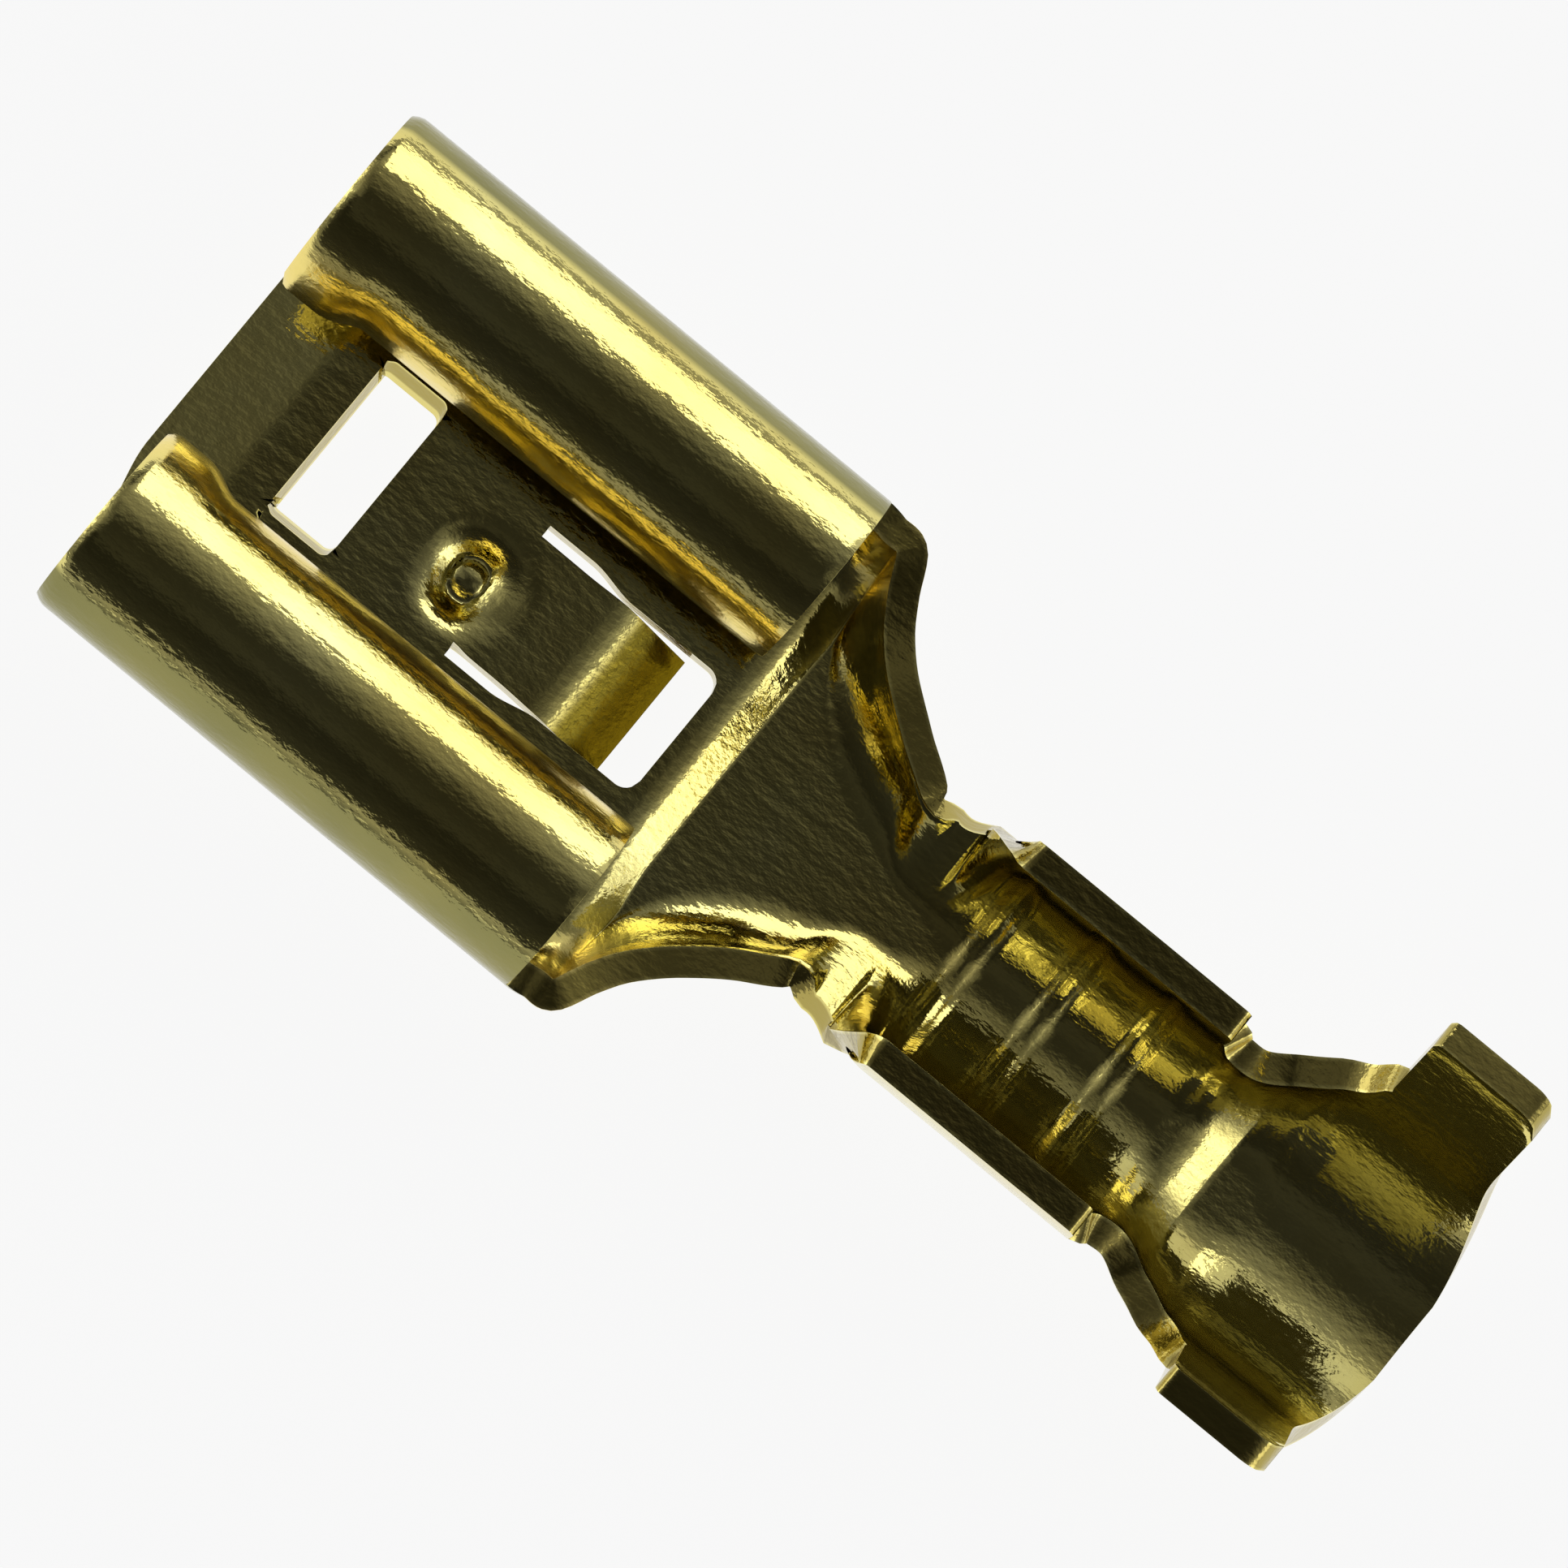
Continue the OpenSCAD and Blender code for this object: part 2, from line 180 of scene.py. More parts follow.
def length_to(height, flat, radius, angle):
    """Length along the middle of the strip, from its centre line to where it is that high."""
    middle, turn = radius - SHEET / 2, math.radians(angle)
    bend_top = radius * (1 - math.cos(turn))
    if height < bend_top:
        return flat + middle * math.acos(1 - height / radius)
    return flat + middle * turn + (height - bend_top) / math.sin(turn)


def spread(stops, start=0.0):
    """Places from start on: (place, number of steps up to it) pairs, one after the other."""
    places = [start]
    for stop, count in stops:
        last = places[-1]
        places += [last + (stop - last) * (k + 1) / count for k in range(count)]
    return places


# Rows along the strip, from its centre line to its edge, and the last row of each part of it
ROLL_END = FLOOR_HALF + CURL_MIDDLE * math.radians(CURL_TURN)
NECK_TOP = FLOOR_HALF + CURL_MIDDLE * math.pi / 2 + 0.05
ROWS = spread([(LANCE_HALF, 9), (SLOT_HALF, 2), (WINDOW_HALF, 2), (FLOOR_HALF, 13), (NECK_TOP, 18),
               (ROLL_END, 34)])
LANCE_ROW, SLOT_ROW, WINDOW_ROW, FLAT_ROW, LOW_ROW, WALL_ROW = 9, 11, 13, 26, 29, 44
LAST_ROW = len(ROWS) - 1
# Turn of the roll up to which its outer flank gets painted shade, and a short step to either side
# of a point
FLANK_TOP = math.radians(131)
NEAR = 0.01


def bend_sum(start, end, x):
    """Integral from the mouth to x of a slope that grows smoothly from 0 at start to 1 at end."""
    u = min(max((x - start) / (end - start), 0.0), 1.0)
    return (end - start) * (u ** 3 - u ** 4 / 2) + max(x - end, 0.0)


def lance_drop(x):
    """How far the lance has bent down below the floor of the receptacle."""
    def fall(at):
        return (TONGUE_SLOPE * bend_sum(LANCE_FROM + TONGUE_BEND_FROM,
                                        LANCE_FROM + TONGUE_BEND_TO, at)
                + FLAP_SLOPE * bend_sum(LANCE_BEND - FLAP_BEND_HALF,
                                        LANCE_BEND + FLAP_BEND_HALF, at))
    return LANCE_DROP * fall(x) / fall(LANCE_END)


def curl_point(s, x):
    """Rolled edge of the receptacle, whose lips open towards the mouth."""
    q = (s - FLOOR_HALF) / CURL_MIDDLE
    opens = math.radians(LEAD_FROM)
    keep = LEAD_KEEP + (1 - LEAD_KEEP) * smoothstep(LEAD_L / 2, LEAD_L, x)
    y, z = FLOOR_HALF, CURL_R
    if q <= opens:
        return y + CURL_MIDDLE * math.sin(q), z - CURL_MIDDLE * math.cos(q)
    wide = CURL_R / keep
    y -= (wide - CURL_R) * math.sin(opens)
    z += (wide - CURL_R) * math.cos(opens)
    turned = opens + (q - opens) * keep
    reach = wide - SHEET / 2
    return y + reach * math.sin(turned), z - reach * math.cos(turned)


def strip_point(s, flat, radius, angle):
    """Section of the neck and the barrels: flat, then bent up, then straight."""
    middle, turn = radius - SHEET / 2, math.radians(angle)
    if s <= flat:
        return s, SHEET / 2
    q = min((s - flat) / middle, turn)
    rest = max(s - flat - middle * turn, 0.0)
    return (flat + middle * math.sin(q) + rest * math.cos(turn),
            radius - middle * math.cos(q) + rest * math.sin(turn))


# Length along the strip to the top of the low walls, to the foot of the wings and to their tip
LOW_STATIONS = []
for x, h in LOW_WALL:
    flat, radius, angle, _ = follow(SPINE, x)
    LOW_STATIONS.append((x, length_to(h, flat, radius, angle)))
WIRE_TOP = length_to(WIRE_H, 0.0, WIRE_R, 90)
LOW_STATIONS[0] = (WIRE_END, ROWS[LOW_ROW] * WIRE_TOP / NECK_TOP)
LOW_FOOT = LOW_STATIONS[-1][1]
WING_TOP = length_to(WING_H, 0.0, WING_R, WING_ANGLE)


def corner_drop(x, start, end, radius_start, radius_end):
    """How far a rounded corner at either end lowers an edge at x."""
    drop = 0.0
    for away, r in ((x - start, radius_start), (end - x, radius_end)):
        if away < r:
            drop = max(drop, r - math.sqrt(max(r * r - (r - away) ** 2, 0.0)))
    return drop


def window_corner(x):
    """How far the rounded corners of the front window reach in at x."""
    inside = min(x - WINDOW_FRONT, WINDOW_REAR - x)
    if inside < 0:
        return WINDOW_CORNER * smoothstep(-CORNER_REACH, 0, inside)
    away = max(WINDOW_CORNER - inside, 0.0)
    return WINDOW_CORNER - math.sqrt(WINDOW_CORNER ** 2 - away ** 2)


def floor_length(x, j):
    """Row length on the floor of the receptacle, which leads round the lance and the windows."""
    s = ROWS[j]
    narrowed = smoothstep(NARROW_FROM, NARROW_TO, x)
    edge = SLOT_HALF - NARROW_BY * narrowed
    if REAR_WINDOW_END - REAR_WINDOW_R < x:
        away = x - (REAR_WINDOW_END - REAR_WINDOW_R)
        r = REAR_WINDOW_R
        edge -= r - math.sqrt(max(r * r - min(away, r) ** 2, 0.0))
        edge += (SLOT_HALF - edge) * smoothstep(REAR_WINDOW_END, CURL_END, x)
    lance = min(LANCE_HALF + LANCE_WIDENS * narrowed, edge - LEAST_SLOT)
    if j <= LANCE_ROW:
        return s * lance / LANCE_HALF
    if j <= SLOT_ROW:
        return lance + (s - LANCE_HALF) * (edge - lance) / (SLOT_HALF - LANCE_HALF)
    if j <= FLAT_ROW:
        s -= (window_corner(x) * smoothstep(SLOT_HALF, WINDOW_HALF, s)
              * smoothstep(FLOOR_HALF, WINDOW_HALF, s))
        return edge + (s - SLOT_HALF) * (FLOOR_HALF - edge) / (FLOOR_HALF - SLOT_HALF)
    return s


def row_length(x, j):
    """Length along the strip, from the centre line, of row j at x."""
    s = ROWS[j]
    if j > WALL_ROW:
        top = ROLL_END - corner_drop(x, 0, CURL_END, EDGE_CORNER, EDGE_CORNER)
        return NECK_TOP + (s - NECK_TOP) * (top - NECK_TOP) / (ROLL_END - NECK_TOP)
    if x <= CURL_END:
        return floor_length(x, j)
    if x <= WIRE_END:
        flat, radius, angle, h = follow(SPINE, x)
        drop = corner_drop(x, 0, WIRE_END, EDGE_CORNER, WIRE_CORNER)
        return s * (length_to(h, flat, radius, angle) - drop) / NECK_TOP
    if j <= LOW_ROW:
        return s * follow(LOW_STATIONS, x)[0] / ROWS[LOW_ROW]
    tip = WING_TOP - corner_drop(tail_x(x, TAIL_TOP), WING_FROM, WING_END, *WING_CORNERS)
    return LOW_FOOT + (s - ROWS[LOW_ROW]) * (tip - LOW_FOOT) / (NECK_TOP - ROWS[LOW_ROW])


def tail_x(x, z):
    """Place along x near the wire end, where the rear edge curves from the wings to the floor."""
    share = min(max((z - TAIL_LOW) / (TAIL_TOP - TAIL_LOW), 0.0), 1.0)
    reach = WING_END + (LENGTH - WING_END) * (1 - math.sin(math.pi / 2 * share))
    return x + (reach - LENGTH) * smoothstep(TAIL_FROM, LENGTH, x)


def middle_point(x, j):
    """Point on the middle of the sheet: (x, y, z)."""
    if j > WALL_ROW:
        x = min(x, CURL_END)
    elif j > LOW_ROW:
        x = min(max(x, WING_FROM), LENGTH) if x > PARTING else min(x, WIRE_END)
    s = row_length(x, j)
    flat, radius, angle, _ = follow(SPINE, x)
    if x <= CURL_END and s > FLOOR_HALF:
        y, z = curl_point(s, x)
    else:
        y, z = strip_point(s, flat, radius, angle)
    z += underside(x)
    if j <= LANCE_ROW and LANCE_FROM < x <= LANCE_END + 0.05:
        z -= lance_drop(x)
    return Vector((tail_x(x, z), y, z))


def settle(p, row, side):
    """Moves a point by the small unevenness; the smoothsteps limit each move to its own part."""
    if side < 0:
        p.y = -p.y
        roll = (smoothstep(1.3, 2.4, ROWS[row]) * (1 - 0.3 * min(p.x / CURL_END, 1))
                * smoothstep(8.8, 7.6, p.x))
        p.x += ROLL_BACK * roll
    if side > 0:
        p.y += (NECK_LEAN * smoothstep(0.5, 1.3, p.z) * smoothstep(8.6, 9.6, p.x)
                * smoothstep(10.9, 10.2, p.x))
    p.y -= (BARREL_LEAN * smoothstep(0.35, 3.1, p.z) * smoothstep(9.8, 11.6, p.x)
            * smoothstep(16.4, 15.0, p.x))
    p.y += (WINDOW_ASIDE * smoothstep(0.9, 1.6, p.x) * smoothstep(3.4, 2.7, p.x)
            * smoothstep(FLOOR_HALF, 1.6, ROWS[row]))
    p.y += WING_LEAN * smoothstep(0.3, 3.6, p.z) * smoothstep(15.6, 17.0, p.x)
    return p


def sheet_point(x, j, side=1):
    """Point on the middle of the sheet, with the dimple pressed into it."""
    p = middle_point(x, j)
    along, across = p.x - DIMPLE_X, side * p.y - DIMPLE_Y
    away = math.hypot(along / DIMPLE_LONG if along > 0 else along,
                      across / DIMPLE_WIDE if across < 0 else across)
    if away < DIMPLE[-1][0] and j <= SLOT_ROW:
        p.z += follow(DIMPLE, away)[0] * (1 - DIMPLE_FADE * smoothstep(0.15, 0.6, along))
    return p


def columns():
    """Places of the columns along x, close together where the sheet is cut, bent or pressed."""
    places = spread([
        (0.28, 4), (1.35, 12), (WINDOW_FRONT, 3), (1.79, 6), (2.49, 5), (WINDOW_REAR, 6), (3.3, 6),
        (LANCE_FROM, 21), (4.95, 6), (5.7, 8), (6.2, 9), (LANCE_END, 5), (7.10, 5),
        (REAR_WINDOW_END, 7), (CURL_END, 4), (8.05, 13), (8.4, 6), (9.65, 14), (10.6, 10),
        (WIRE_FROM, 15)])
    centres = [FIRST_SERRATION + k * SERRATION_PITCH for k in range(SERRATION_COUNT)]
    wire = [centre + step for centre in centres
            for step in (-0.24, -0.19, -0.13, -0.07, 0, 0.07, 0.13, 0.19, 0.24)
            if centre + step > WIRE_FROM]
    wire += [12.2, 12.35, 12.5, 12.65, 12.8, 13.35, 13.5, 13.65, 13.8, 13.95, 14.45, 14.57, 14.69,
             14.79, 14.87, 14.92, WIRE_END]
    rear = spread([(15.26, 5), (15.86, 12), (WING_FROM, 12), (16.95, 1), (17.05, 2), (18.1, 10),
                   (18.6, 7), (18.95, 5), (LENGTH, 1)], WIRE_END)
    return places + sorted(wire) + rear[1:]


def has_metal(x, j):
    """True if the cell between rows j and j + 1, with its middle at x, isn't cut out."""
    if j < WINDOW_ROW and WINDOW_FRONT < x < WINDOW_REAR:
        return False
    if j < SLOT_ROW and LANCE_END < x < REAR_WINDOW_END:
        return False
    if LANCE_ROW <= j < SLOT_ROW and LANCE_FROM < x < REAR_WINDOW_END:
        return False
    if j >= WALL_ROW:
        return x < CURL_END
    if j >= LOW_ROW:
        return x < WIRE_END or WING_FROM < x
    return True


def inner_side(x, row, hand):
    """Direction from the middle of the sheet to its inner face."""
    ahead = (sheet_point(min(x + NEAR, LENGTH), row, hand)
             - sheet_point(max(x - NEAR, 0.0), row, hand))
    if row == 0:
        other = sheet_point(x, 1, -1)
        side = sheet_point(x, 1) - Vector((other.x, -other.y, other.z))
    elif row < LAST_ROW and (has_metal(x - 2 * NEAR, row) or has_metal(x + 2 * NEAR, row)):
        side = sheet_point(x, row + 1, hand) - sheet_point(x, row - 1, hand)
    else:
        side = sheet_point(x, row, hand) - sheet_point(x, row - 1, hand)
    out = ahead.cross(side).normalized()
    if row == WINDOW_ROW and WINDOW_FRONT - NEAR < x < WINDOW_REAR + NEAR:
        out.y += WINDOW_SLANT
    if row <= WINDOW_ROW and abs(x - WINDOW_FRONT) < NEAR:
        out.x -= WINDOW_FRONT_SLANT
    # Where the walls behind the receptacle stand steep, their cut edges are sheared level.
    if row in (LOW_ROW, WALL_ROW) and x > CURL_END and not has_metal(x, row):
        out.z *= 1 - EDGE_SHEAR * smoothstep(SHEAR_FROM, SHEAR_FULL, abs(out.z))
    out.y *= hand
    return out


def marks(x, row):
    """What each point carries, by name: lengths and shares for the node tree and the brass."""
    turned = (ROWS[row] - FLOOR_HALF) / CURL_MIDDLE
    on_lip = smoothstep(0.84, 0.92, ROWS[row] / ROLL_END)
    on_shoulder = (smoothstep(FLAT_ROW - 4, FLAT_ROW + 6, row) * smoothstep(7.5, 7.8, x)
                   * smoothstep(8.7, 8.2, x))
    on_flap = (smoothstep(LANCE_BEND + 0.05, LANCE_BEND + 0.25, x)
               * smoothstep(LANCE_END + 0.1, LANCE_END, x))
    on_flank = (smoothstep(0.5, 1.1, turned) * smoothstep(FLANK_TOP + 0.12, FLANK_TOP, turned)
                * smoothstep(CURL_END + 0.4, CURL_END + 0.1, x))
    thinned = MOUTH_BEVEL * MM * max(1 - x / BEVEL_L, 0.0)
    return {
        "thin": thinned if row <= FLAT_ROW + 2 else 0.0,
        "rounded": MOUTH_ROUND_D * MM * max(1 - x / MOUTH_ROUND_L, 0.0) ** 2,
        "grip": smoothstep(0.94, 0.82, ROWS[row] / NECK_TOP),
        # Where the brass paints a gold reflection, on the lips and the shoulder behind the rolls;
        # also rougher there
        "lip": max(on_lip, 0.8 * on_shoulder),
        # Where the brass paints shade with a gold tone on the flap of the lance; also rougher there
        "flap": on_flap if row <= LANCE_ROW else 0.0,
        # Where the brass paints shade on the outer flanks of the rolls
        "flank": on_flank,
        "along": x * MM,
    }


def middle_sheet():
    """Mesh of the middle of the sheet, with the direction of its inner face at each point."""
    xs = columns()
    bm = bmesh.new()
    lift = bm.verts.layers.float_vector.new("lift")
    layers = {name: bm.verts.layers.float.new(name) for name in marks(0.0, 0)}
    made = {}

    def vertex(i, j):
        if (i, j) not in made:
            x, row, hand = xs[i], abs(j), -1 if j < 0 else 1
            p = settle(sheet_point(x, row, hand), row, hand)
            v = bm.verts.new(((p.x - LENGTH / 2) * MM, p.y * MM, p.z * MM))
            v[lift] = inner_side(x, row, hand)
            for name, value in marks(x, row).items():
                v[layers[name]] = value
            made[i, j] = v
        return made[i, j]

    for i in range(len(xs) - 1):
        x = (xs[i] + xs[i + 1]) / 2
        for j in range(LAST_ROW):
            if has_metal(x, j):
                bm.faces.new([vertex(i, j), vertex(i + 1, j), vertex(i + 1, j + 1),
                              vertex(i, j + 1)])
                bm.faces.new([vertex(i, -j), vertex(i, -j - 1), vertex(i + 1, -j - 1),
                              vertex(i + 1, -j)])
    mesh = bpy.data.meshes.new("middle_sheet")
    bm.to_mesh(mesh)
    bm.free()
    return mesh


class Wiring:
    """Short calls that add nodes to a tree and join them."""

    def __init__(self, tree):
        self.tree = tree

    def node(self, kind, **settings):
        node = self.tree.nodes.new(kind)
        for name, value in settings.items():
            setattr(node, name, value)
        return node

    def join(self, source, target):
        if isinstance(source, (int, float, tuple)):
            target.default_value = source
        else:
            self.tree.links.new(source, target)

    def math(self, operation, *values, clamp=False):
        node = self.node("ShaderNodeMath", operation=operation, use_clamp=clamp)
        for k, value in enumerate(values):
            self.join(value, node.inputs[k])
        return node.outputs[0]

    def vector(self, operation, *values):
        node = self.node("ShaderNodeVectorMath", operation=operation)
        for k, value in enumerate(values):
            self.join(value, node.inputs[k])
        return node

    def scaled(self, vector, factor):
        node = self.vector("SCALE", vector)
        self.join(factor, node.inputs["Scale"])
        return node.outputs[0]

    def named(self, name, kind):
        """Attribute of the geometry, in a Geometry Nodes tree."""
        node = self.node("GeometryNodeInputNamedAttribute", data_type=kind)
        node.inputs["Name"].default_value = name
        return node.outputs["Attribute"]

    def store(self, geometry, name, kind, value):
        node = self.node("GeometryNodeStoreNamedAttribute", data_type=kind, domain="POINT")
        self.join(geometry, node.inputs["Geometry"])
        node.inputs["Name"].default_value = name
        self.join(value, node.inputs["Value"])
        return node.outputs["Geometry"]

    def moved(self, geometry, offset):
        node = self.node("GeometryNodeSetPosition")
        self.join(geometry, node.inputs["Geometry"])
        self.join(offset, node.inputs["Offset"])
        return node.outputs["Geometry"]

    def mark(self, name):
        """Attribute of the mesh, in a material."""
        return self.node("ShaderNodeAttribute", attribute_name=name).outputs["Fac"]

    def ramp(self, value, stops):
        """Colour by value, through (value, colour) stops."""
        node = self.node("ShaderNodeValToRGB")
        elements = node.color_ramp.elements
        for k, (at, colour) in enumerate(stops):
            element = elements[k] if k < 2 else elements.new(at)
            element.position = at
            element.color = colour + (1.0,)
        self.join(value, node.inputs[0])
        return node.outputs[0]

    def level(self, value, low_in, high_in, low_out, high_out):
        """Maps the first range of values to the second."""
        node = self.node("ShaderNodeMapRange")
        node.inputs["From Min"].default_value = low_in
        node.inputs["From Max"].default_value = high_in
        node.inputs["To Min"].default_value = low_out
        node.inputs["To Max"].default_value = high_out
        self.join(value, node.inputs["Value"])
        return node.outputs["Result"]

    def tinted(self, colour, share, tint):
        """The colour with a share of the tint mixed in."""
        node = self.node("ShaderNodeMix", data_type="RGBA")
        first, second, mixed = node.inputs[6], node.inputs[7], node.outputs[2]
        self.join(share, node.inputs["Factor"])
        self.join(colour, first)
        self.join(tint, second)
        return mixed

    def bump(self, height, distance, normal=None):
        node = self.node("ShaderNodeBump")
        node.inputs["Strength"].default_value = 1.0
        node.inputs["Distance"].default_value = distance
        self.join(height, node.inputs["Height"])
        if normal is not None:
            self.join(normal, node.inputs["Normal"])
        return node.outputs[0]


# Geometry Nodes merge points that are closer than this, in metres.
MERGE = 2e-7


def strip_tree():
    """Gives the middle of the sheet its thickness and presses the serrations into its inside."""
    tree = bpy.data.node_groups.new("pressed_strip", "GeometryNodeTree")
    sockets = tree.interface
    sockets.new_socket(name="Geometry", in_out="INPUT", socket_type="NodeSocketGeometry")
    sockets.new_socket(name="Geometry", in_out="OUTPUT", socket_type="NodeSocketGeometry")
    for name in ("Thickness", "First Serration", "Serration Pitch", "Serration Width",
                 "Serration Depth"):
        sockets.new_socket(name=name, in_out="INPUT", socket_type="NodeSocketFloat")
    sockets.new_socket(name="Serration Count", in_out="INPUT", socket_type="NodeSocketInt")
    sockets.new_socket(name="Material", in_out="INPUT", socket_type="NodeSocketMaterial")
    w = Wiring(tree)
    given = w.node("NodeGroupInput").outputs
    position = w.node("GeometryNodeInputPosition").outputs[0]
    lift = w.named("lift", "FLOAT_VECTOR")

    middle = w.store(given["Geometry"], "middle", "FLOAT_VECTOR", position)
    outer = w.moved(middle, w.scaled(lift, w.math("MULTIPLY", given["Thickness"], -0.5)))

    walls = w.node("GeometryNodeExtrudeMesh", mode="FACES")
    walls.inputs["Individual"].default_value = False
    w.join(outer, walls.inputs["Mesh"])
    w.join(w.scaled(lift, given["Thickness"]), walls.inputs["Offset"])
    walls.inputs["Offset Scale"].default_value = 1.0

    flipped = w.node("GeometryNodeFlipFaces")
    w.join(outer, flipped.inputs["Mesh"])
    joined = w.node("GeometryNodeJoinGeometry")
    w.join(walls.outputs["Mesh"], joined.inputs[0])
    w.join(flipped.outputs["Mesh"], joined.inputs[0])
    merged = w.node("GeometryNodeMergeByDistance")
    w.join(joined.outputs[0], merged.inputs["Geometry"])
    merged.inputs["Distance"].default_value = MERGE

    # Share of the thickness, 0 on the outer face and 1 on the inner one.
    from_middle = w.vector("SUBTRACT", position, w.named("middle", "FLOAT_VECTOR")).outputs[0]
    height = w.vector("DOT_PRODUCT", from_middle, lift).outputs["Value"]
    depth = w.math("ADD", w.math("DIVIDE", height, given["Thickness"]), 0.5)
    solid = w.store(merged.outputs["Geometry"], "depth", "FLOAT", depth)

    # Distance from the middle of the nearest serration
    along = w.named("along", "FLOAT")
    turn = w.math("ROUND", w.math("DIVIDE", w.math("SUBTRACT", along, given["First Serration"]),
                                  given["Serration Pitch"]))
    last = w.math("SUBTRACT", given["Serration Count"], 1.0)
    turn = w.math("MAXIMUM", w.math("MINIMUM", turn, last), 0.0)
    centre = w.math("ADD", given["First Serration"],
                    w.math("MULTIPLY", turn, given["Serration Pitch"]))
    away = w.math("ABSOLUTE", w.math("SUBTRACT", along, centre))
    groove = w.node("ShaderNodeMapRange", interpolation_type="SMOOTHSTEP")
    half = w.math("MULTIPLY", given["Serration Width"], 0.5)
    w.join(away, groove.inputs["Value"])
    w.join(w.math("SUBTRACT", half, SERRATION_SOFT * MM), groove.inputs["From Min"])
    w.join(w.math("ADD", half, SERRATION_SOFT * MM), groove.inputs["From Max"])
    w.join(given["Serration Depth"], groove.inputs["To Min"])
    groove.inputs["To Max"].default_value = 0.0
    groove = w.math("MULTIPLY", groove.outputs["Result"], w.named("grip", "FLOAT"))
    pressed = w.math("MULTIPLY", w.math("ADD", groove, w.named("thin", "FLOAT")), -1.0)
    on_inner = w.math("GREATER_THAN", w.named("depth", "FLOAT"), 0.5)
    on_outer = w.math("SUBTRACT", 1.0, on_inner)
    move = w.math("ADD", w.math("MULTIPLY", pressed, on_inner),
                  w.math("MULTIPLY", w.named("rounded", "FLOAT"), on_outer))
    shaped = w.moved(solid, w.scaled(lift, move))

    real = w.node("GeometryNodeRealizeInstances")
    w.join(shaped, real.inputs[0])
    painted = w.node("GeometryNodeSetMaterial")
    w.join(real.outputs[0], painted.inputs["Geometry"])
    w.join(given["Material"], painted.inputs["Material"])
    w.join(painted.outputs[0], w.node("NodeGroupOutput").inputs[0])
    return tree


def plain_mesh(obj, tree, values):
    """Runs the tree on obj and returns the result as a plain mesh, with the modifier removed."""
    grow = obj.modifiers.new("strip", "NODES")
    grow.node_group = tree
    ids = {item.name: item.identifier for item in tree.interface.items_tree
           if item.in_out == "INPUT"}
    for name, value in values.items():
        grow[ids[name]] = value
    bpy.context.view_layer.update()
    evaluated = obj.evaluated_get(bpy.context.evaluated_depsgraph_get())
    mesh = bpy.data.meshes.new_from_object(evaluated)
    obj.modifiers.remove(grow)
    return mesh


def weigh_cut_edges(mesh):
    """Marks the edges where a face of the sheet meets its cut rim, which the bevel then rounds."""
    bm = bmesh.new()
    bm.from_mesh(mesh)
    depth = bm.verts.layers.float["depth"]
    layers = bm.edges.layers.float
    weight = layers.get("bevel_weight_edge") or layers.new("bevel_weight_edge")
    rims = set()
    for face in bm.faces:
        face.smooth = True
        shares = [v[depth] for v in face.verts]
        if min(shares) < 0.5 < max(shares):
            rims.add(face)
    for edge in bm.edges:
        if len({face in rims for face in edge.link_faces}) == 2:
            edge[weight] = 1.0
    bm.to_mesh(mesh)
    bm.free()


# Brass: its own tones; a painted gold reflection on the lips; painted shade with a gold tone on the
# flap of the lance and on the outer flanks of the rolls; and darker cut edges, partly their own
# duller colour and partly painted shade
BRASS = [(0.30, (0.76, 0.63, 0.19)), (0.52, (0.83, 0.73, 0.25)), (0.75, (0.88, 0.80, 0.32))]
LIP_REFLECTION_TINT, LIP_REFLECTION_SHARE = (0.98, 0.78, 0.24, 1), 0.75
FLAP_SHADE_TINT = (0.22, 0.17, 0.02, 1)
FLANK_SHADE_TINT = (0.21, 0.20, 0.075, 1)
CUT_DULL_AND_SHADE_TINT = (0.44, 0.36, 0.10, 1)
# Height of the relief of the waves, the draw lines and the grain
WAVE_RELIEF, LINE_RELIEF, GRAIN_RELIEF = 0.008, 0.002, 0.006


